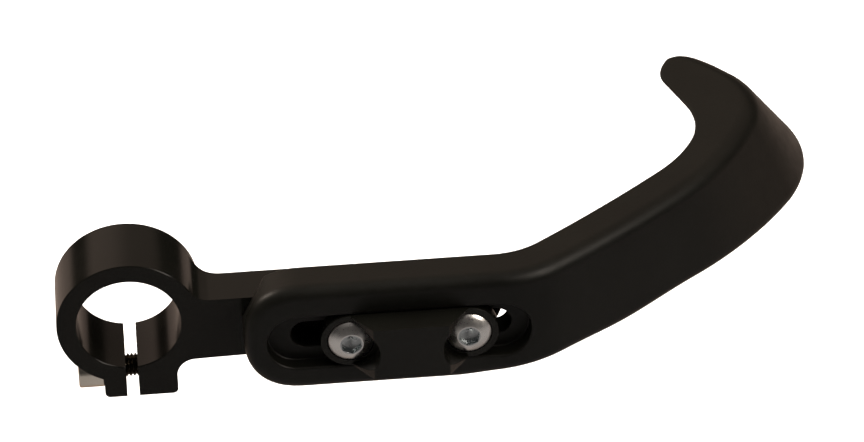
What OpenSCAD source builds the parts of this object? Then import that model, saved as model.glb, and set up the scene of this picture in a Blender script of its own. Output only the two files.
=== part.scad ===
// Lever guard for a motorcycle handlebar: split clamp with arm, slotted blade,
// raised bridge plate, two domed screws and a pinch bolt.
// Frame: origin on the handlebar's axis in the middle of the clamp, X along the
// arm, Y along the bar from the blade's side to the clamp's back, Z up. The slit
// and the ears point down.

/* [Handlebar clamp] */
// Diameter of the handlebar that the clamp grips
bar_d = 22.2; // [21.8:0.1:22.4]
// Outside diameter of the clamp ring
ring_d = 30.5; // [29.6:0.1:32]
// Length of the clamp along the handlebar
ring_len = 16; // [14:0.5:18]
// Width of the slit under the bar
slit_w = 2.6; // [1.6:0.1:3]
// Depth of the ears below the bar's axis
ear_drop = 18.7; // [18:0.1:20]
// Outer side of the ear that takes the bolt head
ear_head_x = 6; // [5.6:0.1:7.2]
// Outer side of the threaded ear
ear_thread_x = 9.6; // [8:0.1:10]

/* [Arm] */
// Thickness of the arm along the handlebar
arm_t = 9.4; // [8.5:0.1:11]
// Upper edge of the arm above the bar's axis
arm_top = 5.1; // [4:0.1:6]
// Lower edge of the arm at the ring
arm_low = -10.1; // [-10.5:0.1:-9]
// Radius of the rounded end of the arm
arm_end_r = 6.9; // [6.4:0.1:7.2]
// Radius of the fillets between ring and arm
arm_fillet = 4.5; // [3:0.1:6]
// Radius that blends the back of the arm into the ring
back_blend = 5.6; // [4:0.1:6]

/* [Blade] */
// Left end of the blade, from the bar's axis
blade_x = 23.9; // [23:0.1:27]
// Thickness of the slotted part
blade_t = 9.1; // [8:0.1:9.5]
// Height of the slotted part
blade_h = 26; // [23:0.1:26]
// Rounding of the blade's outer edge
blade_round = 2.8; // [1.5:0.1:3]
// Rounding of the blade's inner edge
blade_round_in = 0.6; // [0.5:0.1:1.5]
// Turn of the first bend
bend_1 = 34.3; // [30:0.1:38]
// Turn of the second bend
bend_2 = 58.8; // [50:0.1:62]
// Lean of the blade past the second bend, as a slope
lean_2 = 0.79; // [0.5:0.01:0.85]
// Height of the slotted part's middle
blade_mid = -0.65; // [-1.5:0.05:0]

/* [Slot] */
// Length of the recess that holds the plate
recess_len = 55.6; // [54:0.1:57]
// Middle of the recess along the arm
recess_x = 56.5; // [56:0.1:58]
// Height of the recess
recess_h = 13; // [12.9:0.1:14]
// Depth of the recess
recess_deep = 3.2; // [2.6:0.1:3.6]
// Length of the slot for the screws
slot_len = 46.5; // [45:0.1:48]
// Width of the slot
slot_w = 6.4; // [6.3:0.1:7]
// Middle of the slot along the arm
slot_x = 57.05; // [57:0.05:59]
// Height of the slot's centre line
slot_z = -1.1; // [-1.5:0.1:0]

/* [Plate and screws] */
// Middle of the bridge plate along the arm
plate_x = 58.65; // [58:0.05:61]
// Distance between the two screws
screw_gap = 24.8; // [24:0.1:26]
// Width of the plate
plate_w = 12.7; // [12:0.1:12.8]
// Thickness of the plate's ends
plate_end_t = 3.4; // [3:0.1:4]
// Thickness of the plate's middle
plate_mid_t = 9.1; // [7:0.1:10]
// Half length of the flat top of the middle
plate_flat = 7.95; // [7:0.05:8.5]
// Diameter of the screw heads
head_d = 9.6; // [9.4:0.1:9.8]
// Height of the screw heads
head_h = 3; // [2.5:0.1:3.1]
// Diameter of the screws
screw_d = 6; // [5:0.1:6]
// Length of the screws under the head
screw_len = 16; // [14:0.5:17]
// Width across the flats of the sockets
hex_af = 4; // [3:0.5:4]

/* [Pinch bolt] */
// Diameter of the bolt
bolt_d = 5; // [4:0.5:5]
// Diameter of its head
bolt_head_d = 8.5; // [8:0.1:8.8]
// Height of its head
bolt_head_h = 5.4; // [4:0.1:5.6]
// Length under the head
bolt_len = 12; // [10:0.5:15]
// Distance of the bolt below the bar's axis
bolt_drop = 14.4; // [14:0.1:15]
// Place of the bolt along the handlebar
bolt_y = -2.6; // [-3:0.1:0]

/* [Hidden] */
eps = 0.01;
gap = 0.03;                         // clearance between faces that slide
face_y = -ring_len / 2;             // front of the ring and of the arm
back_y = face_y - gap;              // back of the blade
front_y = back_y - blade_t;         // front of the blade
floor_y = front_y + recess_deep;    // floor of the recess
plate_y = floor_y - gap;            // underside of the plate
seat_y = plate_y - 2.2;             // seat of the screw heads
half_h = blade_h / 2;
blade_top = blade_mid + half_h;      // flat upper face
blade_low = blade_mid - half_h;      // lower edge of the slotted part
screw_x1 = plate_x - screw_gap / 2;
screw_x2 = plate_x + screw_gap / 2;
arm_end_z = arm_top - arm_end_r;

// a flat shape drawn in X and Z, from y0 to y1
module slab(y0, y1) {
    translate([0, y1, 0]) rotate([90, 0, 0]) linear_extrude(height = y1 - y0) children();
}

// a round bar along +Y
module rod_y(x, z, d, y0, y1) {
    translate([x, y0, z]) rotate([-90, 0, 0]) cylinder(d = d, h = y1 - y0, $fn = 96);
}

// a round bar along +X
module rod_x(y, z, d, x0, x1) {
    translate([x0, y, z]) rotate([0, 90, 0]) cylinder(d = d, h = x1 - x0, $fn = 96);
}

// a slot shape in X and Z
module obround(xc, zc, len, wid) {
    union() {
        for (s = [-1, 1]) translate([xc + s * (len - wid) / 2, zc]) circle(d = wid, $fn = 96);
        translate([xc - (len - wid) / 2, zc - wid / 2]) square([len - wid, wid]);
    }
}

/* ---------- clamp and arm ---------- */

ring_r = ring_d / 2;
// centre of the fillet over the arm: it touches the ring and the arm's upper edge
fil_top_x = sqrt(pow(ring_r + arm_fillet, 2) - pow(arm_top + arm_fillet, 2));
fil_top_z = arm_top + arm_fillet;
// lower edge of the arm falls from the ring to the arm's end
low_x1 = screw_x2;
low_z1 = arm_end_z - arm_end_r;
low_slope = (low_z1 - arm_low) / (low_x1 - 12);
function low_z(x) = arm_low + low_slope * (x - 12);
// fillet in the corner between the threaded ear and the arm's lower edge
ear_fil = 4;
ear_fx = ear_thread_x + ear_fil;
ear_fz = low_z(ear_fx) - ear_fil;

module arm_outline() {
    union() {
        polygon([[0, arm_top], [screw_x2, arm_top], [screw_x2, low_z1], [12, arm_low], [0, arm_low]]);
        translate([screw_x2, arm_end_z]) circle(r = arm_end_r, $fn = 128);
        // upper fillet
        difference() {
            polygon([[4, arm_top - 1], [fil_top_x, arm_top - 1], [fil_top_x, arm_top],
                     [fil_top_x, fil_top_z],
                     [ring_r * fil_top_x / (ring_r + arm_fillet), ring_r * fil_top_z / (ring_r + arm_fillet)]]);
            translate([fil_top_x, fil_top_z]) circle(r = arm_fillet, $fn = 96);
        }
        // fillet under the arm, beside the threaded ear
        difference() {
            polygon([[ear_thread_x - 2, arm_low + 2], [ear_fx, low_z(ear_fx) + 1], [ear_fx, ear_fz],
                     [ear_thread_x - 2, ear_fz]]);
            translate([ear_fx, ear_fz]) circle(r = ear_fil, $fn = 96);
        }
    }
}

module ear_outline() {
    r = 1.2;
    union() {
        translate([-ear_head_x, -ear_drop + r]) square([ear_head_x + ear_thread_x, ear_drop - 9 - r]);
        translate([-ear_head_x + r, -ear_drop]) square([ear_head_x + ear_thread_x - 2 * r, ear_drop - 9]);
        translate([-ear_head_x + r, -ear_drop + r]) circle(r = r, $fn = 48);
        translate([ear_thread_x - r, -ear_drop + r]) circle(r = r, $fn = 48);
    }
}

module clamp_arm() {
    color([0.10, 0.10, 0.09])
    difference() {
        union() {
            // ring with its outer edges broken, more at the back
            translate([0, face_y, 0]) rotate([-90, 0, 0]) {
                translate([0, 0, 0.2 - eps]) cylinder(r = ring_r, h = ring_len - 0.6 + 2 * eps, $fn = 180);
                cylinder(r1 = ring_r - 0.2, r2 = ring_r, h = 0.2, $fn = 180);
                translate([0, 0, ring_len - 0.4]) cylinder(r1 = ring_r, r2 = ring_r - 0.4, h = 0.4, $fn = 180);
            }
            slab(face_y, face_y + arm_t) ear_outline();
            slab(face_y, face_y + arm_t) arm_outline();
            // blend between the arm's back and the ring
            intersection() {
                slab(face_y + arm_t - eps, face_y + ring_len - 0.9) arm_outline();
                translate([0, face_y + arm_t - eps, 0]) rotate([-90, 0, 0]) rotate_extrude($fn = 180)
                    difference() {
                        translate([ring_r - 1, 0]) square([back_blend + 1, back_blend]);
                        translate([ring_r + back_blend, back_blend]) circle(r = back_blend, $fn = 96);
                    }
            }
        }
        rod_y(0, 0, bar_d, face_y - 1, face_y + ring_len + 1);
        // chamfers at both mouths of the bore
        translate([0, face_y - eps, 0]) rotate([-90, 0, 0])
            cylinder(r1 = bar_d / 2 + 0.2, r2 = bar_d / 2 - 0.05, h = 0.25, $fn = 180);
        translate([0, face_y + ring_len + eps, 0]) rotate([90, 0, 0])
            cylinder(r1 = bar_d / 2 + 0.2, r2 = bar_d / 2 - 0.05, h = 0.25, $fn = 180);
        // slit
        translate([-slit_w / 2, face_y - 1, -ear_drop - 1]) cube([slit_w, ring_len + 2, ear_drop + 1 - 8]);
        // bolt: clearance hole in one ear, thread in the other
        rod_x(bolt_y, -bolt_drop, bolt_d + 0.4, -ear_head_x - 1, 0);
        rod_x(bolt_y, -bolt_drop, bolt_d + 0.1, 0, 8);
        // pocket in the ring for the bolt's head
        rod_x(bolt_y, -bolt_drop, bolt_head_d + 0.2, -ring_r - 2, -ear_head_x);
        // threaded holes for the two blade screws, countersunk at the face
        for (x = [screw_x1, screw_x2]) {
            rod_y(x, slot_z, screw_d + 0.1, face_y - 1, face_y + arm_t + 1);
            translate([x, face_y - eps, slot_z]) rotate([-90, 0, 0])
                cylinder(r1 = screw_d / 2 + 0.55, r2 = screw_d / 2, h = 0.5, $fn = 96);
        }
    }
}

/* ---------- blade ---------- */

// upper edge in plan, as pieces of even curvature (length and turn), for the
// outer face and for the inner face
out_len = [54.2, 13.2, 36.6, 33.7, 18.6, 15.2];
out_turn = [0, bend_1, 8, 25.8, bend_2 + 0.6, 17.5];
in_len = [53.2, 10.6, 36.8, 13.5, 13.3, 10, 8.2];
in_turn = [0, bend_1 + 1.8, 5.5, 22, bend_2 - 12.8, 3.5, -28];
function upto(v, k) = k < 0 ? 0 : upto(v, k - 1) + v[k];
function heads(l, t) = [for (k = [-1:len(l) - 1]) [upto(l, k), upto(t, k)]];
out_head = heads(out_len, out_turn);
in_head = heads(in_len, in_turn);
s_str = out_len[0];                  // end of the slotted part
s_b1 = upto(out_len, 1);             // end of the first bend
s_mid = upto(out_len, 2);
s_b2 = upto(out_len, 3);             // start of the second bend
s_b3 = upto(out_len, 4);             // end of the second bend
s_end = upto(out_len, 5);
in_end = upto(in_len, 6);

// straight-line table look-up: points p = [[s, v], ...] in rising s
function look(p, s, i = 0) =
    s <= p[0][0] ? p[0][1] :
    i >= len(p) - 1 ? p[len(p) - 1][1] :
    s <= p[i + 1][0] ? p[i][1] + (p[i + 1][1] - p[i][1]) * (s - p[i][0]) / (p[i + 1][0] - p[i][0]) :
    look(p, s, i + 1);

// the same with a smooth curve through the points
function grade(p, i) = let (n = len(p) - 1)
    i == 0 ? 0 : (p[min(i + 1, n)][1] - p[i - 1][1]) / (p[min(i + 1, n)][0] - p[i - 1][0]);
function bow(p, s, i = 0) =
    s <= p[0][0] ? p[0][1] :
    i >= len(p) - 1 ? p[len(p) - 1][1] :
    s <= p[i + 1][0] ?
        let (h = p[i + 1][0] - p[i][0], q = (s - p[i][0]) / h, r = 1 - q)
        r * r * (1 + 2 * q) * p[i][1] + q * r * r * h * grade(p, i)
        + q * q * (3 - 2 * q) * p[i + 1][1] - q * q * r * h * grade(p, i + 1) :
    bow(p, s, i + 1);

// lean of the blade and height of its lower edge
lean_tab = [[s_str - 6, 0], [s_b1, 0.1], [s_mid, 0.2], [s_b2, lean_2 - 0.31], [s_b3, lean_2], [s_end, lean_2]];
low_tab = [[s_str - 10, blade_low], [s_b1, -10.4], [s_b1 + 18, -10.3], [s_mid, -9.5],
           [s_b2, -9.4], [s_b3, -9.5], [s_end, -7.5]];
// distance along the inner face for a distance along the outer face
pair_tab = [[0, 0], [s_str, in_len[0]], [s_b1, upto(in_len, 1)], [s_mid, 97.3], [s_mid + 16.8, 111.6],
            [s_b2, 124.6], [s_b3, 130.6], [s_end - 5, in_end - 6], [s_end, in_end]];

// both edges in plan, by adding up short chords
path_n = 400;
function trace(tab, total, y0) =
    [for (i = 0, x = blade_x, y = y0; i <= path_n;
          a = look(tab, (i + 0.5) * total / path_n),
          x = x + total / path_n * cos(a), y = y + total / path_n * sin(a), i = i + 1) [x, y]];
out_path = trace(out_head, s_end, front_y);
in_path = trace(in_head, in_end, back_y);
function on_path(p, s, total) =
    let (q = max(0, min(s / total * path_n, path_n - 0.0001)), i = floor(q), f = q - i)
    p[i] * (1 - f) + p[i + 1] * f;

// layers through the thickness: distance from the face, inset of the outline,
// and whether the distance counts from the outer (0) or the inner (1) face
layers = concat(
    [for (k = [0:4]) let (a = 22.5 * k) [blade_round * (1 - cos(a)), blade_round * (1 - sin(a)), 0]],
    [[4.2, 0, 0], [3.9, 0, 1], [2.2, 0, 1]],
    [for (k = [0:2]) let (a = 45 * k) [blade_round_in * (1 - sin(a)), blade_round_in * (1 - cos(a)), 1]]);

// point of the blade: distance s, height z, layer d from face side e
function blade_pt(s, z, d, e) =
    let (a = look(out_head, s), o = on_path(out_path, s, s_end),
         i = on_path(in_path, look(pair_tab, s), in_end),
         w = max(norm(o - i), blade_t), f = e == 0 ? d / w : 1 - d / w,
         k = bow(lean_tab, s) * (blade_top - z))
    [o[0] * (1 - f) + i[0] * f + sin(a) * k, o[1] * (1 - f) + i[1] * f - cos(a) * k, z];

// the tip is round in plan: how far a layer stops before the tip
tip_r = 5;
function tip_back(d, e) = let (f = e == 0 ? d / 10.5 : 1 - d / 10.5)
    tip_r * (1 - sqrt(max(0, 1 - pow(2 * f - 1, 2))));

// distances along the blade at which it is sectioned, past the rounded end
tip_s = s_end - 10;
function split(a, b, n) = [for (k = [1:n]) a + (b - a) * k / n];
mid_s = concat([half_h, 24, 36, 44], split(44, s_str, 5), split(s_str, s_b1, 8), split(s_b1, s_mid, 8),
               split(s_mid, s_b2, 16), split(s_b2, s_b3, 14), [tip_s]);
round_n = 16;
end_p = 0.81;                        // a little squarer than a half circle
tip_z = 2.6;

// one half of the outline at an inset f: sgn +1 upper, -1 lower
function edge_z(s, f, sgn) = sgn > 0 ? blade_top - f : bow(low_tab, s) + f;
function half_outline(f, d, e, sgn) = let (q = s_end - tip_back(d, e)) concat(
    [for (k = [0:round_n - 1]) let (a = 5 + 85 * k / round_n)
        blade_pt(half_h - (half_h - f) * pow(cos(a), end_p), blade_mid + sgn * (half_h - f) * pow(sin(a), end_p), d, e)],
    [for (s = mid_s) blade_pt(s, edge_z(s, f, sgn), d, e)],
    [for (s = split(tip_s, q - tip_z, 3)) blade_pt(s, edge_z(s, f, sgn), d, e)],
    [for (a = [22.5:22.5:90]) let (s = q - tip_z * (1 - sin(a)))
        blade_pt(s, edge_z(s, f, sgn) - sgn * tip_z * (1 - cos(a)), d, e)]);

half_n = len(half_outline(0, 0, 0, 1));
ring_n = 2 * half_n;
blade_pts = [for (l = layers)
    let (up = half_outline(l[1], l[0], l[2], 1), dn = half_outline(l[1], l[0], l[2], -1))
    each concat(up, [for (i = [half_n - 1:-1:0]) dn[i]])];
lay_n = len(layers);
side_faces = [for (l = [0:lay_n - 2]) for (i = [0:ring_n - 1])
    let (j = (i + 1) % ring_n, a = l * ring_n + i, b = l * ring_n + j, c = a + ring_n, d = b + ring_n)
    each [[a, b, d], [a, d, c]]];
// outer and inner faces: strips between the upper and the lower half
function cap(l, flip) = [for (i = [0:half_n - 2])
    let (a = l * ring_n + i, b = a + 1, c = l * ring_n + ring_n - 1 - i, d = c - 1)
    each (flip ? [[a, b, d], [a, d, c]] : [[a, d, b], [a, c, d]])];
blade_faces = concat(side_faces, cap(0, false), cap(lay_n - 1, true));

module guard() {
    color([0.15, 0.14, 0.13])
    difference() {
        polyhedron(points = blade_pts, faces = blade_faces, convexity = 6);
        slab(front_y - 4, floor_y) obround(recess_x, slot_z, recess_len, recess_h);
        slab(front_y - 4, back_y + 4) obround(slot_x, slot_z, slot_len, slot_w);
    }
}

/* ---------- bridge plate ---------- */

module clamp_plate() {
    ramp_x = screw_gap / 2;
    color([0.12, 0.12, 0.11])
    difference() {
        intersection() {
            slab(plate_y - plate_mid_t - 1, plate_y)
                obround(plate_x, slot_z, screw_gap + plate_w, plate_w);
            // side view in X and Y: low ends, ramps and a flat middle
            translate([plate_x, plate_y, slot_z - plate_w]) linear_extrude(height = 2 * plate_w)
                polygon([[-30, 0], [-30, -plate_end_t], [-ramp_x, -plate_end_t],
                         [-plate_flat, -plate_mid_t], [plate_flat, -plate_mid_t],
                         [ramp_x, -plate_end_t], [30, -plate_end_t], [30, 0]]);
        }
        for (x = [screw_x1, screw_x2]) {
            rod_y(x, slot_z, screw_d + 0.4, plate_y - 20, plate_y + 1);
            // pocket for the head, and a wider scoop beside the raised middle
            rod_y(x, slot_z, head_d + 0.4, plate_y - 20, seat_y);
            rod_y(x, slot_z, head_d + 2, plate_y - 20, plate_y - plate_end_t - 0.05);
        }
    }
}

/* ---------- screws ---------- */

// domed screw: axis on Y, seat at y = 0, head towards -Y
module domed_screw() {
    r = head_d / 2;
    rim = 1.3;
    // the dome's arc passes through the rim and the top
    c = (pow(r, 2) + pow(head_h - rim, 2)) / (2 * (head_h - rim));
    difference() {
        union() {
            rotate([90, 0, 0]) rotate_extrude($fn = 128)
                intersection() {
                    polygon([[0, 0], [r, 0], [r, rim], [r, head_h], [0, head_h]]);
                    union() {
                        translate([0, head_h - c]) circle(r = c, $fn = 256);
                        square([r, rim]);
                    }
                }
            rotate([-90, 0, 0]) cylinder(d = screw_d, h = screw_len - 0.6, $fn = 96);
            translate([0, screw_len - 0.6 - eps, 0]) rotate([-90, 0, 0])
                cylinder(d1 = screw_d, d2 = screw_d - 1.2, h = 0.6, $fn = 96);
        }
        // hexagon socket with its drilled point
        translate([0, -head_h - 1, 0]) rotate([-90, 0, 0]) rotate([0, 0, 30])
            cylinder(d = hex_af / cos(30), h = 3.1, $fn = 6);
        translate([0, -head_h + 2.09, 0]) rotate([-90, 0, 0])
            cylinder(r1 = hex_af / 2 - 0.1, r2 = 0.2, h = 0.8, $fn = 48);
    }
}

module guard_screw_inner() {
    color([0.72, 0.72, 0.70]) translate([screw_x1, seat_y - gap, slot_z]) domed_screw();
}

module guard_screw_outer() {
    color([0.72, 0.72, 0.70]) translate([screw_x2, seat_y - gap, slot_z]) rotate([0, 14, 0]) domed_screw();
}

// socket head bolt: axis on X, seat at the ear, head towards -X
module pinch_bolt() {
    color([0.66, 0.64, 0.60])
    translate([-ear_head_x - 0.02, bolt_y, -bolt_drop])
    difference() {
        union() {
            translate([-bolt_head_h + 0.4, 0, 0]) rotate([0, 90, 0])
                cylinder(d = bolt_head_d, h = bolt_head_h - 0.4, $fn = 128);
            translate([-bolt_head_h, 0, 0]) rotate([0, 90, 0])
                cylinder(d1 = bolt_head_d - 0.8, d2 = bolt_head_d, h = 0.4 + eps, $fn = 128);
            rotate([0, 90, 0]) cylinder(d = bolt_d, h = bolt_len - 0.5, $fn = 96);
            translate([bolt_len - 0.5 - eps, 0, 0]) rotate([0, 90, 0])
                cylinder(d1 = bolt_d, d2 = bolt_d - 1, h = 0.5, $fn = 96);
        }
        translate([-bolt_head_h - 1, 0, 0]) rotate([0, 90, 0]) cylinder(d = 4 / cos(30), h = 3.6, $fn = 6);
        translate([-bolt_head_h + 2.59, 0, 0]) rotate([0, 90, 0])
            cylinder(r1 = 1.9, r2 = 0.2, h = 0.8, $fn = 48);
    }
}

clamp_arm();
guard();
clamp_plate();
guard_screw_inner();
guard_screw_outer();
pinch_bolt();
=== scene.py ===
"""Looks for the lever guard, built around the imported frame. All lengths are metres."""
import math

import bmesh
import bpy
from mathutils import Matrix, Vector


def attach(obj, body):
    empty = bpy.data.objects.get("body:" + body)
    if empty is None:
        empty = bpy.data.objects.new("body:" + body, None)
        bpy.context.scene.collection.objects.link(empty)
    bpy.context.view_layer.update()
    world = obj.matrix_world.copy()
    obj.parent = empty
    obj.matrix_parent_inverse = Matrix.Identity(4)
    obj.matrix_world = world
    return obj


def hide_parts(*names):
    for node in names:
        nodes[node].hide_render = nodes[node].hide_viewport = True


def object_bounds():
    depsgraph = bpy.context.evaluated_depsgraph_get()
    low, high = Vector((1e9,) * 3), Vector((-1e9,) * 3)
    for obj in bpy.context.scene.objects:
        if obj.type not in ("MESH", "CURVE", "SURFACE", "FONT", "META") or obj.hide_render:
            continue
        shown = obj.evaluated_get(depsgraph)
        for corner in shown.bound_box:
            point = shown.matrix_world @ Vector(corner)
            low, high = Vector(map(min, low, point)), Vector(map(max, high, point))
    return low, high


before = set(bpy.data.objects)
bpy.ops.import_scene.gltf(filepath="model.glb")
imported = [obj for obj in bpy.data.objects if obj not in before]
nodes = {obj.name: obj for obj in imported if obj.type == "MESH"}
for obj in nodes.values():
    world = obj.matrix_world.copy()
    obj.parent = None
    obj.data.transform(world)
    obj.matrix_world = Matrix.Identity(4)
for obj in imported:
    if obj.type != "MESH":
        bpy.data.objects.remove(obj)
cad_box = [list(v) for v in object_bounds()]
MM = 0.001

# ---------------------------------------------------------------- sizes, in mm
FACE_Y, RING_LEN, ARM_T = -8.0, 16.0, 9.4
GAP = 0.03
BACK_Y = FACE_Y - GAP
BLADE_X, BLADE_T, BLADE_H, BLADE_MID = 23.9, 9.1, 26.0, -0.65
ROUND_OUT, ROUND_IN, END_P = 2.8, 0.6, 0.81
BEND_1, BEND_2, LEAN_2 = 34.3, 58.8, 0.79
FRONT_Y = BACK_Y - BLADE_T
RECESS_X, RECESS_LEN, RECESS_H, RECESS_DEEP = 56.5, 55.6, 13.0, 3.2
SLOT_X, SLOT_LEN, SLOT_W, SLOT_Z = 57.05, 46.5, 6.4, -1.1
FLOOR_Y = FRONT_Y + RECESS_DEEP
PLATE_Y = FLOOR_Y - GAP
PLATE_X, SCREW_GAP = 58.65, 24.8
SCREW_X = (PLATE_X - SCREW_GAP / 2, PLATE_X + SCREW_GAP / 2)
BOLT_Y, BOLT_Z, BOLT_X = -2.6, -14.4, -6.02
HALF_H = BLADE_H / 2
TOP = BLADE_MID + HALF_H
LOW = BLADE_MID - HALF_H

# ---------------------------------------------------------------- small helpers


def mesh_object(name, verts, faces):
    me = bpy.data.meshes.new(name)
    me.from_pydata([Vector(v) * MM for v in verts], [], faces)
    me.validate()
    ob = bpy.data.objects.new(name, me)
    bpy.context.scene.collection.objects.link(ob)
    return ob


def outward(ob):
    bm = bmesh.new()
    bm.from_mesh(ob.data)
    bmesh.ops.recalc_face_normals(bm, faces=bm.faces)
    bm.to_mesh(ob.data)
    bm.free()


def apply_mods(ob):
    dg = bpy.context.evaluated_depsgraph_get()
    dg.update()
    me = bpy.data.meshes.new_from_object(ob.evaluated_get(dg))
    ob.modifiers.clear()
    ob.data = me


def cut(ob, tools, how="DIFFERENCE"):
    for t in tools:
        m = ob.modifiers.new("cut", "BOOLEAN")
        m.operation = how
        m.solver = "EXACT"
        m.object = t
        apply_mods(ob)
    for t in tools:
        bpy.data.objects.remove(t)


def tidy(ob, flat=0.4):
    """Joins doubled points and merges what lies in one plane."""
    bm = bmesh.new()
    bm.from_mesh(ob.data)
    bmesh.ops.remove_doubles(bm, verts=bm.verts, dist=2e-6)
    bmesh.ops.dissolve_degenerate(bm, edges=bm.edges, dist=1e-6)
    if flat:
        bmesh.ops.dissolve_limit(bm, angle_limit=math.radians(flat), verts=bm.verts, edges=bm.edges)
    bm.to_mesh(ob.data)
    bm.free()


def smooth(ob, angle=32):
    """Shades smooth, keeps real corners, and lets the flat faces stay flat."""
    me = ob.data
    for p in me.polygons:
        p.use_smooth = True
    bm = bmesh.new()
    bm.from_mesh(me)
    for e in bm.edges:
        e.smooth = not (len(e.link_faces) == 2 and e.calc_face_angle(0) > math.radians(angle))
    bm.to_mesh(me)
    bm.free()
    m = ob.modifiers.new("normals", "WEIGHTED_NORMAL")
    m.mode = "FACE_AREA_WITH_ANGLE"
    m.weight = 60
    m.keep_sharp = True


def bevelled(node, name, width, segments=3, angle=35, skip=None):
    """A copy of a CAD node with its outer corners broken."""
    me = nodes[node].data.copy()
    me.name = name
    ob = bpy.data.objects.new(name, me)
    bpy.context.scene.collection.objects.link(ob)
    for a in [a.name for a in me.attributes if a.name in ("custom_normal",)]:
        me.attributes.remove(me.attributes[a])
    tidy(ob)
    bm = bmesh.new()
    bm.from_mesh(me)
    edges = [e for e in bm.edges if len(e.link_faces) == 2 and e.is_convex
             and e.calc_face_angle(0) > math.radians(angle)
             and not (skip and skip((e.verts[0].co + e.verts[1].co) / 2 / MM))]
    bmesh.ops.bevel(bm, geom=edges, offset=width * MM, offset_type="OFFSET", segments=segments,
                    profile=0.5, affect="EDGES", clamp_overlap=True, loop_slide=True)
    bm.to_mesh(me)
    bm.free()
    return ob


# ---------------------------------------------------------------- blade


def run_up(v):
    out = [0.0]
    for x in v:
        out.append(out[-1] + x)
    return out


OUT_LEN = [54.2, 13.2, 36.6, 33.7, 18.6, 15.2]
OUT_TURN = [0, BEND_1, 8, 25.8, BEND_2 + 0.6, 17.5]
IN_LEN = [53.2, 10.6, 36.8, 13.5, 13.3, 10, 8.2]
IN_TURN = [0, BEND_1 + 1.8, 5.5, 22, BEND_2 - 12.8, 3.5, -28]
OUT_S, OUT_A = run_up(OUT_LEN), run_up(OUT_TURN)
IN_S, IN_A = run_up(IN_LEN), run_up(IN_TURN)
S_STR, S_B1, S_MID, S_B2, S_B3, S_END = OUT_S[1:]
IN_END = IN_S[-1]


def look(xs, ys, s):
    if s <= xs[0]:
        return ys[0]
    for i in range(len(xs) - 1):
        if s <= xs[i + 1]:
            return ys[i] + (ys[i + 1] - ys[i]) * (s - xs[i]) / (xs[i + 1] - xs[i])
    return ys[-1]


def bow(tab, s):
    n = len(tab) - 1

    def grade(i):
        if i == 0:
            return 0
        j = min(i + 1, n)
        return (tab[j][1] - tab[i - 1][1]) / (tab[j][0] - tab[i - 1][0])

    if s <= tab[0][0]:
        return tab[0][1]
    for i in range(n):
        if s <= tab[i + 1][0]:
            h = tab[i + 1][0] - tab[i][0]
            q = (s - tab[i][0]) / h
            r = 1 - q
            return (r * r * (1 + 2 * q) * tab[i][1] + q * r * r * h * grade(i)
                    + q * q * (3 - 2 * q) * tab[i + 1][1] - q * q * r * h * grade(i + 1))
    return tab[n][1]


LEAN = [[S_STR - 6, 0], [S_B1, 0.1], [S_MID, 0.2], [S_B2, LEAN_2 - 0.31], [S_B3, LEAN_2], [S_END, LEAN_2]]
LOWER = [[S_STR - 10, LOW], [S_B1, -10.4], [S_B1 + 18, -10.3], [S_MID, -9.5], [S_B2, -9.4], [S_B3, -9.5],
         [S_END, -7.5]]
PAIR = ([0, S_STR, S_B1, S_MID, S_MID + 16.8, S_B2, S_B3, S_END - 5, S_END],
        [0, IN_LEN[0], IN_S[2], 97.3, 111.6, 124.6, 130.6, IN_END - 6, IN_END])
PATH_N = 400


def trace(ss, aa, total, y0):
    x, y, out = BLADE_X, y0, [(BLADE_X, y0)]
    for i in range(PATH_N):
        a = math.radians(look(ss, aa, (i + 0.5) * total / PATH_N))
        x += total / PATH_N * math.cos(a)
        y += total / PATH_N * math.sin(a)
        out.append((x, y))
    return out


OUT_PATH = trace(OUT_S, OUT_A, S_END, FRONT_Y)
IN_PATH = trace(IN_S, IN_A, IN_END, BACK_Y)


def on_path(p, s, total):
    q = max(0, min(s / total * PATH_N, PATH_N - 0.0001))
    i = int(q)
    f = q - i
    return p[i][0] * (1 - f) + p[i + 1][0] * f, p[i][1] * (1 - f) + p[i + 1][1] * f


SECTION = {}


def section(s):
    if s not in SECTION:
        o = on_path(OUT_PATH, s, S_END)
        i = on_path(IN_PATH, look(PAIR[0], PAIR[1], s), IN_END)
        a = math.radians(look(OUT_S, OUT_A, s))
        SECTION[s] = (o, i, max(math.dist(o, i), BLADE_T), math.sin(a), math.cos(a), bow(LEAN, s))
    return SECTION[s]


def blade_pt(s, z, d, e):
    o, i, w, sa, ca, lean = section(s)
    f = d / w if e == 0 else 1 - d / w
    k = lean * (TOP - z)
    return (o[0] * (1 - f) + i[0] * f + sa * k, o[1] * (1 - f) + i[1] * f - ca * k, z)


def face_y_at(x, z):
    """Y of the blade's outer face over a point of its slotted part."""
    lo, hi = 0.0, S_B1 + 6
    for _ in range(30):
        m = (lo + hi) / 2
        if blade_pt(m, z, 0, 0)[0] < x:
            lo = m
        else:
            hi = m
    return blade_pt(lo, z, 0, 0)[1]


def split(a, b, n):
    return [a + (b - a) * k / n for k in range(1, n + 1)]


def tip_back(d, e):
    f = d / 10.5 if e == 0 else 1 - d / 10.5
    return 5.0 * (1 - math.sqrt(max(0.0, 1 - (2 * f - 1) ** 2)))


TIP_S, TIP_Z = S_END - 10, 2.6
MID_S = ([HALF_H, 18, 24, 30, 36, 40, 44] + split(44, S_STR, 8) + split(S_STR, S_B1, 18)
         + split(S_B1, S_MID, 16) + split(S_MID, S_B2, 32) + split(S_B2, S_B3, 30) + [TIP_S])


def edge_z(s, f, sgn):
    return TOP - f if sgn > 0 else bow(LOWER, s) + f


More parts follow.
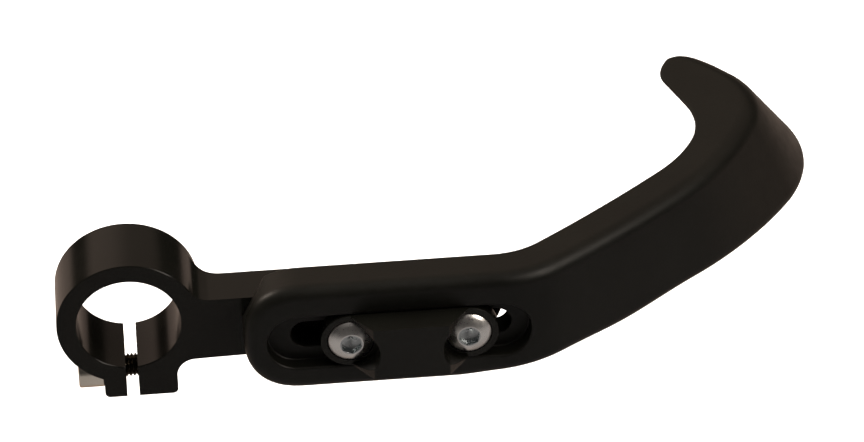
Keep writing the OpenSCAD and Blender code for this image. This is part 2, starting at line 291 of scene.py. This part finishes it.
def half_outline(f, d, e, sgn):
    q = S_END - tip_back(d, e)
    out = []
    for k in range(36):
        a = math.radians(2.5 + 87.5 * k / 36)
        out.append(blade_pt(HALF_H - (HALF_H - f) * math.cos(a) ** END_P,
                            BLADE_MID + sgn * (HALF_H - f) * math.sin(a) ** END_P, d, e))
    out += [blade_pt(s, edge_z(s, f, sgn), d, e) for s in MID_S]
    out += [blade_pt(s, edge_z(s, f, sgn), d, e) for s in split(TIP_S, q - TIP_Z, 5)]
    for k in range(1, 9):
        a = math.radians(90 * k / 8)
        s = q - TIP_Z * (1 - math.sin(a))
        out.append(blade_pt(s, edge_z(s, f, sgn) - sgn * TIP_Z * (1 - math.cos(a)), d, e))
    return out


def blade_mesh():
    layers = []
    for k in range(9):
        a = math.radians(90 * k / 8)
        layers.append((ROUND_OUT * (1 - math.cos(a)), ROUND_OUT * (1 - math.sin(a)), 0))
    layers += [(d, 0, 0) for d in (3.3, 3.8, 4.3)]
    layers += [(d, 0, 1) for d in (4.2, 3.6, 3.1, 2.6, 2.2, 1.8, 1.5, 1.25, 1.0, 0.8)]
    for k in range(5):
        a = math.radians(90 * k / 4)
        layers.append((ROUND_IN * (1 - math.sin(a)), ROUND_IN * (1 - math.cos(a)), 1))
    verts, faces, half = [], [], 0
    for d, f, e in layers:
        up, dn = half_outline(f, d, e, 1), half_outline(f, d, e, -1)
        half = len(up)
        verts += up + dn[::-1]
    n = 2 * half
    for l in range(len(layers) - 1):
        for i in range(n):
            j = (i + 1) % n
            a, b, c, d2 = l * n + i, l * n + j, (l + 1) * n + i, (l + 1) * n + j
            faces.append((a, b, d2, c))
    last = len(layers) - 1
    for l, flip in ((0, False), (last, True)):
        for i in range(half - 1):
            a, b = l * n + i, l * n + i + 1
            c, d2 = l * n + n - 1 - i, l * n + n - 2 - i
            faces.append((a, b, d2, c) if flip else (a, c, d2, b))
    return mesh_object("lever_blade", verts, faces)


def stadium(xc, zc, length, wid, grow, steps=28):
    """Points of a slot outline, grown outwards."""
    h, r, pts = (length - wid) / 2, wid / 2 + grow, []
    for side in (1, -1):
        for k in range(steps + 1):
            a = math.radians(-90 + 180 * k / steps)
            pts.append((xc + side * (h + r * math.cos(a)), zc + side * r * math.sin(a)))
    fine = []
    for k, p in enumerate(pts):
        q = pts[(k + 1) % len(pts)]
        fine.append(p)
        if math.dist(p, q) > 4:
            fine += [(p[0] + (q[0] - p[0]) * t / 10, p[1] + (q[1] - p[1]) * t / 10) for t in range(1, 10)]
    return fine


def cutter(name, rows):
    """A closed tool from rows of equal outlines: each row is a list of x, y, z points."""
    n = len(rows[0])
    verts = [p for r in rows for p in r]
    faces = [(l * n + i, l * n + (i + 1) % n, (l + 1) * n + (i + 1) % n, (l + 1) * n + i)
             for l in range(len(rows) - 1) for i in range(n)]
    faces.append(tuple(range(n)))
    faces.append(tuple(range((len(rows) - 1) * n, len(rows) * n))[::-1])
    ob = mesh_object(name, verts, faces)
    outward(ob)
    return ob


def recess_tool():
    lip, fil, rows = 0.55, 0.45, []
    base = stadium(RECESS_X, SLOT_Z, RECESS_LEN, RECESS_H, 0)
    drop = [face_y_at(x, z) - FRONT_Y for x, z in base]

    def row(grow, y, share):
        pts = stadium(RECESS_X, SLOT_Z, RECESS_LEN, RECESS_H, grow)
        return [(p[0], y + share * d, p[1]) for p, d in zip(pts, drop)]

    for k in range(5):
        a = math.radians(90 * k / 4)
        rows.append(row(-fil * (1 - math.sin(a)), FLOOR_Y - fil * (1 - math.cos(a)), 0))
    for k in range(6):
        a = math.radians(90 * k / 5)
        rows.append(row(lip * (1 - math.cos(a)), FRONT_Y + lip * (1 - math.sin(a)), 1))
    rows.append(row(lip + 0.02, FRONT_Y - 3, 1))
    return cutter("recess_tool", rows)


def slot_tool():
    lip, rows = 0.3, []

    def row(grow, y):
        return [(p[0], y, p[1]) for p in stadium(SLOT_X, SLOT_Z, SLOT_LEN, SLOT_W, grow)]

    rows.append(row(lip + 0.01, FLOOR_Y - 2))
    for k in range(4):
        a = math.radians(90 * k / 3)
        rows.append(row(lip * (1 - math.sin(a)), FLOOR_Y + lip * (1 - math.cos(a))))
    for k in range(4):
        a = math.radians(90 * k / 3)
        rows.append(row(lip * (1 - math.cos(a)), BACK_Y - lip * (1 - math.sin(a))))
    rows.append(row(lip + 0.01, BACK_Y + 3))
    return cutter("slot_tool", rows)


def end_flat(side):
    """Slanting flat behind the round end, which slims it towards the arm."""
    x0, z0, ux, uz, nx, nz = BLADE_X, 0.75, 0.438, 0.899, -0.899, 0.438
    rows = []
    for y, off in ((BACK_Y + 1, -0.25), (BACK_Y - 7, 1.75)):
        pts = [(x0 + ux * s + nx * o, z0 + uz * s + nz * o) for s, o in ((-4, off), (15, off), (15, 8), (-4, 8))]
        rows.append([(x, y, BLADE_MID + side * z) for x, z in pts])
    return cutter("end_tool", rows)


blade = blade_mesh()
outward(blade)
cut(blade, [recess_tool(), slot_tool(), end_flat(1), end_flat(-1)])
tidy(blade, 0)
smooth(blade, 40)
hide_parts("guard")
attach(blade, "guard")

# ---------------------------------------------------------------- clamp, plate and screws



def arm_nose():
    """The arm's round end runs on a little behind the blade, with its edges broken."""
    xc, zc, r = SCREW_X[1] + 1.05, -1.8, 6.88
    rows = []
    for y, q in ((-7.0, r - 0.3), (-6.7, r), (ARM_T + FACE_Y - 0.27, r), (ARM_T + FACE_Y - 0.02, r - 0.25)):
        rows.append([(xc + q * math.cos(2 * math.pi * k / 128), y, zc + q * math.sin(2 * math.pi * k / 128))
                     for k in range(128)])
    return cutter("nose_tool", rows)


def arm_hole():
    """Keeps the nose out of the outer screw's hole."""
    rows = [[(SCREW_X[1] + 3.05 * math.cos(2 * math.pi * k / 64), y, SLOT_Z + 3.05 * math.sin(2 * math.pi * k / 64))
             for k in range(64)] for y in (-9.5, 3.0)]
    return cutter("hole_tool", rows)


clamp = bevelled("clamp_arm", "clamp_body", 0.25, 3)
cut(clamp, [arm_nose()], "UNION")
cut(clamp, [arm_hole()])
smooth(clamp, 30)
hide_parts("clamp_arm")
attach(clamp, "mount")

plate = bevelled("clamp_plate", "bridge_plate", 0.28, 3)
smooth(plate, 30)
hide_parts("clamp_plate")
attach(plate, "mount")


def domed_screw(name, xc, turn):
    """Button head screw along Y, with a hexagon socket; only its head shows."""
    n, r, rim, high, shank, length = 128, 4.8, 1.3, 3.0, 3.0, 16.0
    base = PLATE_Y - 2.2 - GAP
    dome = (r * r + (high - rim) ** 2) / (2 * (high - rim))
    prof = [(0.0, shank), (0.0, r - 0.15), (0.15, r)]
    prof += [(rim - 0.3 + 0.34 * math.sin(math.radians(a)), r - 0.3 + 0.3 * math.cos(math.radians(a)))
             for a in (0, 20, 40, 60)]
    prof += [(high - dome + math.sqrt(dome * dome - q * q), q) for q in (4.4, 4.1, 3.8, 3.5, 3.2, 2.9, 2.6, 2.45)]
    back_end = [(-length + 0.0, shank - 0.6), (-length + 0.6, shank)]
    verts = []
    for h, q in back_end + prof:
        for k in range(n):
            a = 2 * math.pi * k / n
            verts.append((xc + q * math.cos(a), base - h, SLOT_Z + q * math.sin(a)))
    rows = len(back_end + prof)
    faces = [(l * n + i, l * n + (i + 1) % n, (l + 1) * n + (i + 1) % n, (l + 1) * n + i)
             for l in range(rows - 1) for i in range(n)]
    faces.append(tuple(range(n)))
    faces.append(tuple(range((rows - 1) * n, rows * n))[::-1])
    ob = mesh_object(name, verts, faces)
    outward(ob)
    top = base - high
    hexa = [[(xc + q * math.cos(math.radians(60 * k + 30 + turn)), y, SLOT_Z + q * math.sin(math.radians(60 * k + 30 + turn)))
             for k in range(6)] for y, q in ((top - 1, 2.36), (top + 2.05, 2.36), (top + 2.7, 0.3))]
    mouth = [[(xc + q * math.cos(2 * math.pi * k / 64), y, SLOT_Z + q * math.sin(2 * math.pi * k / 64))
              for k in range(64)] for y, q in ((top - 0.3, 2.85), (top + 0.42, 2.05))]
    cut(ob, [cutter("hex_tool", hexa), cutter("mouth_tool", mouth)])
    tidy(ob, 0)
    return ob


for which, turn in (("inner", 6), ("outer", -10)):
    screw = domed_screw("domed_screw_" + which, SCREW_X[which == "outer"], turn)
    smooth(screw, 30)
    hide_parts("guard_screw_" + which)
    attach(screw, "mount")


def thread_bolt():
    """Socket head bolt on the X axis, with its thread cut as a helix."""
    n, head_r, head_h, length, r0, pitch = 96, 4.25, 5.4, 12.0, 2.5, 0.8
    prof = [(-head_h, 3.35)]
    prof += [(-head_h + 0.5 - 0.5 * math.cos(math.radians(a)), head_r - 0.5 + 0.5 * math.sin(math.radians(a)))
             for a in (0, 22.5, 45, 67.5, 90)]
    prof += [(-0.2, head_r), (-0.06, head_r - 0.06), (0.0, head_r - 0.2), (0.0, r0 + 0.12), (0.14, r0 - 0.02),
             (2.2, r0 - 0.02)]
    rows = [[(x, r) for _ in range(n)] for x, r in prof]
    steps = int((length - 2.6) / 0.1)
    for i in range(steps + 1):
        x = 2.4 + i * 0.1
        fade = min(1.0, (x - 2.4) / 0.8)
        end = max(0.0, (x - (length - 0.7)) / 0.7)
        row = []
        for k in range(n):
            f = (x / pitch - k / n) % 1.0
            ridge = 1 - abs(2 * f - 1)
            deep = 0.44 * (1 - min(1.0, max(0.0, (ridge - 0.12) / 0.72)))
            row.append((x, r0 - 0.01 - deep * fade - 0.45 * end * (1 - deep)))
        rows.append(row)
    rows.append([(length, 1.6)] * n)
    verts = []
    for row in rows:
        for k, (x, r) in enumerate(row):
            a = 2 * math.pi * k / n
            verts.append((BOLT_X + x, BOLT_Y + r * math.cos(a), BOLT_Z + r * math.sin(a)))
    faces = [(l * n + i, l * n + (i + 1) % n, (l + 1) * n + (i + 1) % n, (l + 1) * n + i)
             for l in range(len(rows) - 1) for i in range(n)]
    faces.append(tuple(range(n)))
    faces.append(tuple(range((len(rows) - 1) * n, len(rows) * n))[::-1])
    ob = mesh_object("socket_bolt", verts, faces)
    outward(ob)
    # hexagon socket with a countersunk mouth
    hexa, m, rad = [], 6, 2.0 / math.cos(math.radians(30))
    for x, r in ((-head_h - 1, rad), (-head_h + 2.6, rad), (-head_h + 3.3, 0.3)):
        hexa.append([(BOLT_X + x, BOLT_Y + r * math.cos(math.radians(60 * k)), BOLT_Z + r * math.sin(math.radians(60 * k)))
                     for k in range(m)])
    cone = []
    for x, r in ((-head_h - 0.4, rad + 0.5), (-head_h + 0.25, rad - 0.15)):
        cone.append([(BOLT_X + x, BOLT_Y + r * math.cos(2 * math.pi * k / 48), BOLT_Z + r * math.sin(2 * math.pi * k / 48))
                     for k in range(48)])
    cut(ob, [cutter("hex_tool", hexa), cutter("cone_tool", cone)])
    return ob


bolt = thread_bolt()
tidy(bolt, 0)
smooth(bolt, 35)
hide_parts("pinch_bolt")
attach(bolt, "mount")

# ---------------------------------------------------------------- materials


def material(name, base, rough, metallic=0.0, level=0.5, ior=1.5, tint=(1, 1, 1), vary=0.2, scale=60.0, stretch=(1, 1, 1),
             rough_vary=0.06, grain=900.0, grain_h=0.00002, coat=0.0, coat_rough=0.1, thread_shade_x=None, socket_shade=False):
    """Procedural finish: uneven colour, uneven gloss and a fine surface grain. Past the given X the colour is darkened,
    painted shade on the bolt's thread, and the socket switch paints shade into the screws' hex socket recesses as a
    blue grey."""
    m = bpy.data.materials.new(name)
    m.use_nodes = True
    nt = m.node_tree
    nt.nodes.clear()
    out = nt.nodes.new("ShaderNodeOutputMaterial")
    bs = nt.nodes.new("ShaderNodeBsdfPrincipled")
    nt.links.new(bs.outputs["BSDF"], out.inputs["Surface"])
    bs.inputs["Metallic"].default_value = metallic
    bs.inputs["IOR"].default_value = ior
    bs.inputs["Specular IOR Level"].default_value = level
    bs.inputs["Specular Tint"].default_value = (*tint, 1)
    bs.inputs["Coat Weight"].default_value = coat
    bs.inputs["Coat Roughness"].default_value = coat_rough
    tc = nt.nodes.new("ShaderNodeTexCoord")
    mp = nt.nodes.new("ShaderNodeMapping")
    mp.inputs["Scale"].default_value = stretch
    nt.links.new(tc.outputs["Object"], mp.inputs["Vector"])

    def noise(s, detail, rough_n=0.5):
        n = nt.nodes.new("ShaderNodeTexNoise")
        n.inputs["Scale"].default_value = s
        n.inputs["Detail"].default_value = detail
        n.inputs["Roughness"].default_value = rough_n
        nt.links.new(mp.outputs["Vector"], n.inputs["Vector"])
        return n

    big = noise(scale, 4)
    ramp = nt.nodes.new("ShaderNodeValToRGB")
    lo = [c * (1 - vary) for c in base]
    hi = [c * (1 + vary) for c in base]
    ramp.color_ramp.elements[0].position, ramp.color_ramp.elements[1].position = 0.3, 0.7
    ramp.color_ramp.elements[0].color = (*lo, 1)
    ramp.color_ramp.elements[1].color = (*hi, 1)
    nt.links.new(big.outputs["Fac"], ramp.inputs["Fac"])
    if socket_shade:
        # painted shade: the screws' hex socket recesses are darkened to a blue grey
        near = []
        for x in SCREW_X:
            flat = nt.nodes.new("ShaderNodeVectorMath")
            flat.operation = "MULTIPLY"
            flat.inputs[1].default_value = (1, 0, 1)
            nt.links.new(tc.outputs["Object"], flat.inputs[0])
            away = nt.nodes.new("ShaderNodeVectorMath")
            away.operation = "DISTANCE"
            away.inputs[1].default_value = (x * MM, 0, SLOT_Z * MM)
            nt.links.new(flat.outputs["Vector"], away.inputs[0])
            near.append(away)
        least = nt.nodes.new("ShaderNodeMath")
        least.operation = "MINIMUM"
        nt.links.new(near[0].outputs["Value"], least.inputs[0])
        nt.links.new(near[1].outputs["Value"], least.inputs[1])
        far = nt.nodes.new("ShaderNodeMapRange")
        far.inputs["From Min"].default_value, far.inputs["From Max"].default_value = 0.00232, 0.00242
        nt.links.new(least.outputs["Value"], far.inputs["Value"])
        mix = nt.nodes.new("ShaderNodeMix")
        mix.data_type = "RGBA"
        mix.inputs["A"].default_value = (base[0] * 0.60, base[1] * 0.645, base[2] * 0.68, 1)
        nt.links.new(far.outputs["Result"], mix.inputs["Factor"])
        nt.links.new(ramp.outputs["Color"], mix.inputs["B"])
        nt.links.new(mix.outputs["Result"], bs.inputs["Base Color"])
    elif thread_shade_x is None:
        nt.links.new(ramp.outputs["Color"], bs.inputs["Base Color"])
    else:
        # painted shade: past the given X the bolt's thread is darkened, standing in for the shade inside the slit
        xyz = nt.nodes.new("ShaderNodeSeparateXYZ")
        nt.links.new(tc.outputs["Object"], xyz.inputs["Vector"])
        far = nt.nodes.new("ShaderNodeMapRange")
        far.inputs["From Min"].default_value, far.inputs["From Max"].default_value = thread_shade_x - 0.0003, thread_shade_x + 0.0003
        nt.links.new(xyz.outputs["X"], far.inputs["Value"])
        mix = nt.nodes.new("ShaderNodeMix")
        mix.data_type = "RGBA"
        mix.inputs["B"].default_value = (base[0] * 0.10, base[1] * 0.09, base[2] * 0.08, 1)
        nt.links.new(far.outputs["Result"], mix.inputs["Factor"])
        nt.links.new(ramp.outputs["Color"], mix.inputs["A"])
        nt.links.new(mix.outputs["Result"], bs.inputs["Base Color"])
    mid = noise(scale * 4, 5, 0.6)
    rr = nt.nodes.new("ShaderNodeMapRange")
    rr.inputs["From Min"].default_value, rr.inputs["From Max"].default_value = 0.3, 0.7
    rr.inputs["To Min"].default_value, rr.inputs["To Max"].default_value = rough - rough_vary, rough + rough_vary
    nt.links.new(mid.outputs["Fac"], rr.inputs["Value"])
    nt.links.new(rr.outputs["Result"], bs.inputs["Roughness"])
    fine = noise(grain, 3, 0.6)
    bump = nt.nodes.new("ShaderNodeBump")
    bump.inputs["Strength"].default_value = 1.0
    bump.inputs["Distance"].default_value = grain_h
    nt.links.new(fine.outputs["Fac"], bump.inputs["Height"])
    nt.links.new(bump.outputs["Normal"], bs.inputs["Normal"])
    return m


anodised = material("anodised_black", (0.0029, 0.0028, 0.0022), 0.17, level=0.17, vary=0.14, scale=40, rough_vary=0.03,
                    grain=2600, grain_h=0.0000010)
nylon = material("blade_nylon", (0.0028, 0.0027, 0.0020), 0.40, level=0.20, vary=0.16, scale=70, rough_vary=0.05,
                 grain=1500, grain_h=0.000014)
plate_black = material("plate_black", (0.0032, 0.0031, 0.0024), 0.22, level=0.22, vary=0.14, scale=60, rough_vary=0.04,
                       grain=2200, grain_h=0.000002)
# the screws' hex socket recesses carry painted shade
zinc = material("screw_zinc", (0.90, 0.89, 0.865), 0.30, metallic=1.0, vary=0.10, scale=300, rough_vary=0.07,
                grain=2400, grain_h=0.000004, socket_shade=True)
# the bolt's thread past X = -2.6 mm carries painted shade
steel = material("bolt_steel", (0.92, 0.87, 0.76), 0.20, metallic=1.0, vary=0.08, scale=140, rough_vary=0.06,
                 grain=2400, grain_h=0.000005, thread_shade_x=-0.0026)


def paint(ob, m):
    ob.data.materials.clear()
    ob.data.materials.append(m)
    for p in ob.data.polygons:
        p.material_index = 0


paint(blade, nylon)
paint(clamp, anodised)
paint(plate, plate_black)
paint(bolt, steel)
for which in ("inner", "outer"):
    paint(bpy.data.objects["domed_screw_" + which], zinc)

# ---------------------------------------------------------------- floor, light, camera


def floor_plane(z):
    me = bpy.data.meshes.new("studio_floor")
    r = 6.0
    me.from_pydata([(-r, -r, z), (r, -r, z), (r, r, z), (-r, r, z)], [], [(0, 1, 2, 3)])
    ob = bpy.data.objects.new("studio_floor", me)
    bpy.context.scene.collection.objects.link(ob)
    m = bpy.data.materials.new("studio_floor")
    m.use_nodes = True
    bs = m.node_tree.nodes["Principled BSDF"]
    bs.inputs["Base Color"].default_value = (0.92, 0.92, 0.92, 1)
    bs.inputs["Roughness"].default_value = 0.9
    bs.inputs["Specular IOR Level"].default_value = 0.0
    # seen from below, the floor is clear
    nt = m.node_tree
    side = nt.nodes.new("ShaderNodeNewGeometry")
    clear = nt.nodes.new("ShaderNodeBsdfTransparent")
    pick = nt.nodes.new("ShaderNodeMixShader")
    nt.links.new(side.outputs["Backfacing"], pick.inputs["Fac"])
    nt.links.new(bs.outputs["BSDF"], pick.inputs[1])
    nt.links.new(clear.outputs["BSDF"], pick.inputs[2])
    nt.links.new(pick.outputs["Shader"], nt.nodes["Material Output"].inputs["Surface"])
    me.materials.append(m)
    ob.visible_glossy = False
    return ob


stage_floor = floor_plane(cad_box[0][2] - 0.035)


def backdrop():
    """A pale dome far behind everything, which only the camera sees."""
    me = bpy.data.meshes.new("studio_backdrop")
    bm = bmesh.new()
    bmesh.ops.create_uvsphere(bm, u_segments=48, v_segments=24, radius=5.5)
    bm.to_mesh(me)
    bm.free()
    ob = bpy.data.objects.new("studio_backdrop", me)
    bpy.context.scene.collection.objects.link(ob)
    m = bpy.data.materials.new("studio_backdrop")
    m.use_nodes = True
    nt = m.node_tree
    nt.nodes.clear()
    out = nt.nodes.new("ShaderNodeOutputMaterial")
    em = nt.nodes.new("ShaderNodeEmission")
    em.inputs["Color"].default_value = (1, 1, 1, 1)
    nt.links.new(em.outputs["Emission"], out.inputs["Surface"])
    me.materials.append(m)
    ob.visible_glossy = ob.visible_diffuse = ob.visible_shadow = ob.visible_transmission = False
    return ob


backdrop()


def area(name, place, aim, size, power, colour=(1, 1, 1), shine=True):
    li = bpy.data.lights.new(name, "AREA")
    li.shape = "RECTANGLE"
    li.size = li.size_y = size
    li.energy = power
    li.color = colour
    ob = bpy.data.objects.new(name, li)
    bpy.context.scene.collection.objects.link(ob)
    ob.location = place
    ob.rotation_euler = (Vector(aim) - Vector(place)).to_track_quat("-Z", "Y").to_euler()
    ob.visible_glossy = shine
    return ob


CENTRE = (0.065, 0.0, 0.0)
area("top_light", (0.05, 0.20, 1.40), CENTRE, 2.0, 62, (1.0, 0.99, 0.97), shine=False)
area("left_light", (-0.74, 0.26, 0.76), CENTRE, 0.40, 7, (1.0, 0.88, 0.76))
area("right_light", (0.79, -0.42, 0.69), (0.08, 0, 0), 0.60, 6.5, (1.0, 0.90, 0.80))

# surroundings: a warm glow above and behind, a dark band at the horizon, paler below it
world = bpy.data.worlds.new("studio")
bpy.context.scene.world = world
world.use_nodes = True
wn = world.node_tree
bg = wn.nodes["Background"]
bg.inputs["Strength"].default_value = 1.0
w_tc = wn.nodes.new("ShaderNodeTexCoord")
w_xyz = wn.nodes.new("ShaderNodeSeparateXYZ")
wn.links.new(w_tc.outputs["Generated"], w_xyz.inputs["Vector"])


def sky_ramp(stops, warm=1.0):
    """Brightness by height of the direction, which runs from -1 (straight down) to 1 (straight up)."""
    mr = wn.nodes.new("ShaderNodeMapRange")
    mr.inputs["From Min"].default_value, mr.inputs["From Max"].default_value = -1, 1
    wn.links.new(w_xyz.outputs["Z"], mr.inputs["Value"])
    rp = wn.nodes.new("ShaderNodeValToRGB")
    rp.color_ramp.interpolation = "EASE"
    els = rp.color_ramp.elements
    while len(els) > 1:
        els.remove(els[-1])
    for k, (h, v) in enumerate(stops):
        el = els[0] if k == 0 else els.new((h + 1) / 2)
        el.position = (h + 1) / 2
        el.color = (v, v * (1 - 0.24 * warm), v * (1 - 0.38 * warm), 1)
    wn.links.new(mr.outputs["Result"], rp.inputs["Fac"])
    return rp


behind_left = sky_ramp([(-1, 0.3), (-0.35, 0.55), (-0.12, 0.6), (0.02, 0.06), (0.20, 0.04), (0.38, 0.90), (0.65, 0.90),
                        (0.85, 0.4)])
behind_right = sky_ramp([(-1, 0.3), (-0.35, 0.5), (-0.2, 0.45), (-0.08, 0.01), (0.25, 0.01), (0.42, 0.35), (0.65, 0.45),
                         (0.85, 0.3)])
ahead = sky_ramp([(-1, 0.3), (-0.3, 0.3), (-0.1, 0.10), (0.1, 0.04), (0.5, 0.05), (0.8, 0.10), (1, 0.25)], 0.35)


def blend(axis, lo, hi, a, b):
    """Passes from a to b as the direction's X or Y goes from lo to hi."""
    mr = wn.nodes.new("ShaderNodeMapRange")
    mr.interpolation_type = "SMOOTHSTEP"
    mr.inputs["From Min"].default_value, mr.inputs["From Max"].default_value = lo, hi
    wn.links.new(w_xyz.outputs[axis], mr.inputs["Value"])
    mx = wn.nodes.new("ShaderNodeMix")
    mx.data_type = "RGBA"
    wn.links.new(mr.outputs["Result"], mx.inputs["Factor"])
    wn.links.new(a, mx.inputs["A"])
    wn.links.new(b, mx.inputs["B"])
    return mx.outputs["Result"]


behind = blend("X", -0.25, 0.16, behind_left.outputs["Color"], behind_right.outputs["Color"])
wn.links.new(blend("Y", -0.2, 0.3, ahead.outputs["Color"], behind), bg.inputs["Color"])

AZ, EL, ROLL = math.radians(-4.07), math.radians(35.46), math.radians(-1.526)
back = Vector((math.sin(AZ) * math.cos(EL), -math.cos(AZ) * math.cos(EL), math.sin(EL)))
right = Vector((0, 0, 1)).cross(back).normalized()
up = back.cross(right)
r_ax = right * math.cos(ROLL) + up * math.sin(ROLL)
u_ax = -right * math.sin(ROLL) + up * math.cos(ROLL)
ox, oy = (127.36 - 432) / 4.718, -(302.88 - 221) / 4.718
cam_data = bpy.data.cameras.new("photo_camera")
cam_data.sensor_fit = "HORIZONTAL"
cam_data.sensor_width = 36
cam_data.lens = 4718 / 864 * 36
cam_data.clip_start, cam_data.clip_end = 0.05, 50
cam = bpy.data.objects.new("photo_camera", cam_data)
bpy.context.scene.collection.objects.link(cam)
place = (back * 1000 - r_ax * ox - u_ax * oy) * MM
cam.matrix_world = Matrix(((r_ax.x, u_ax.x, back.x, place.x), (r_ax.y, u_ax.y, back.y, place.y),
                           (r_ax.z, u_ax.z, back.z, place.z), (0, 0, 0, 1)))
bpy.context.scene.camera = cam
view = bpy.context.scene.view_settings
view.view_transform = "Standard"
view.look = "None"
